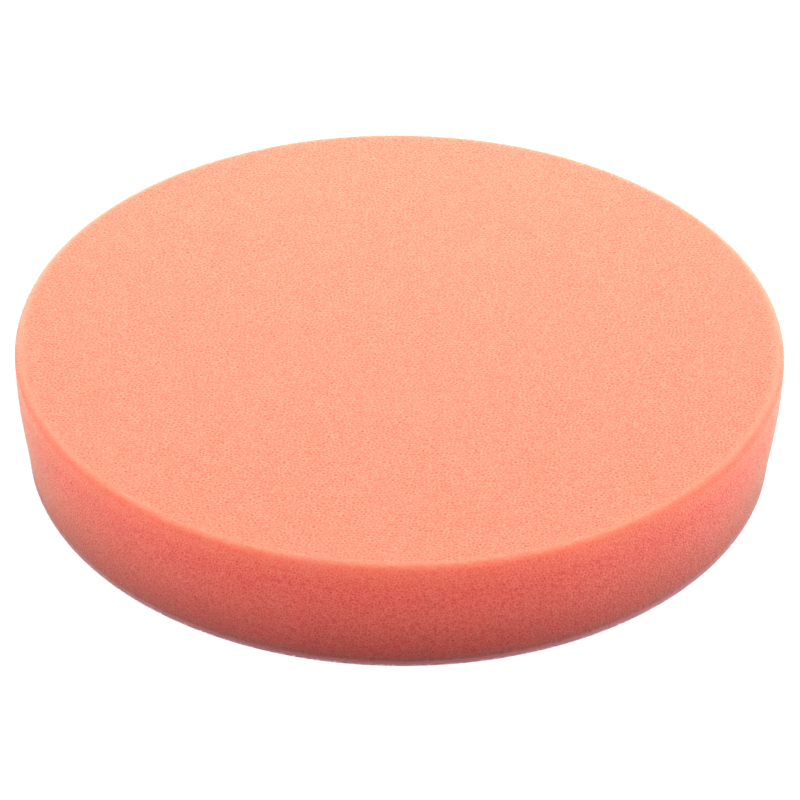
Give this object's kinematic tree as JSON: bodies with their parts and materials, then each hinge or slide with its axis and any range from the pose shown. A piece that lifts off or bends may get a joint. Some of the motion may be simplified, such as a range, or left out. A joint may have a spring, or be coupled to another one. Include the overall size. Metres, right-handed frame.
{
  "type": "foam polishing pad",
  "caption": "Flat round foam polishing pad with a softly rounded face edge, a slightly tapered side and a hook-and-loop backing.",
  "frame": {"origin": "centre of the loop face, at the tips of the loops", "axes": "+Z along the pad's axis, from the loop face towards the polishing face; X and Y are equal directions across the disc"},
  "size_m": [0.15, 0.15, 0.025],
  "materials": {
    "foam": "matte",
    "film": "satin",
    "knit": "matte",
    "loops": "matte"
  },
  "bodies": {
    "root": {"foam_disc": "foam", "adhesive_film": "film", "backing_knit": "knit", "loop_pile": "loops"}
  },
  "joints": []
}
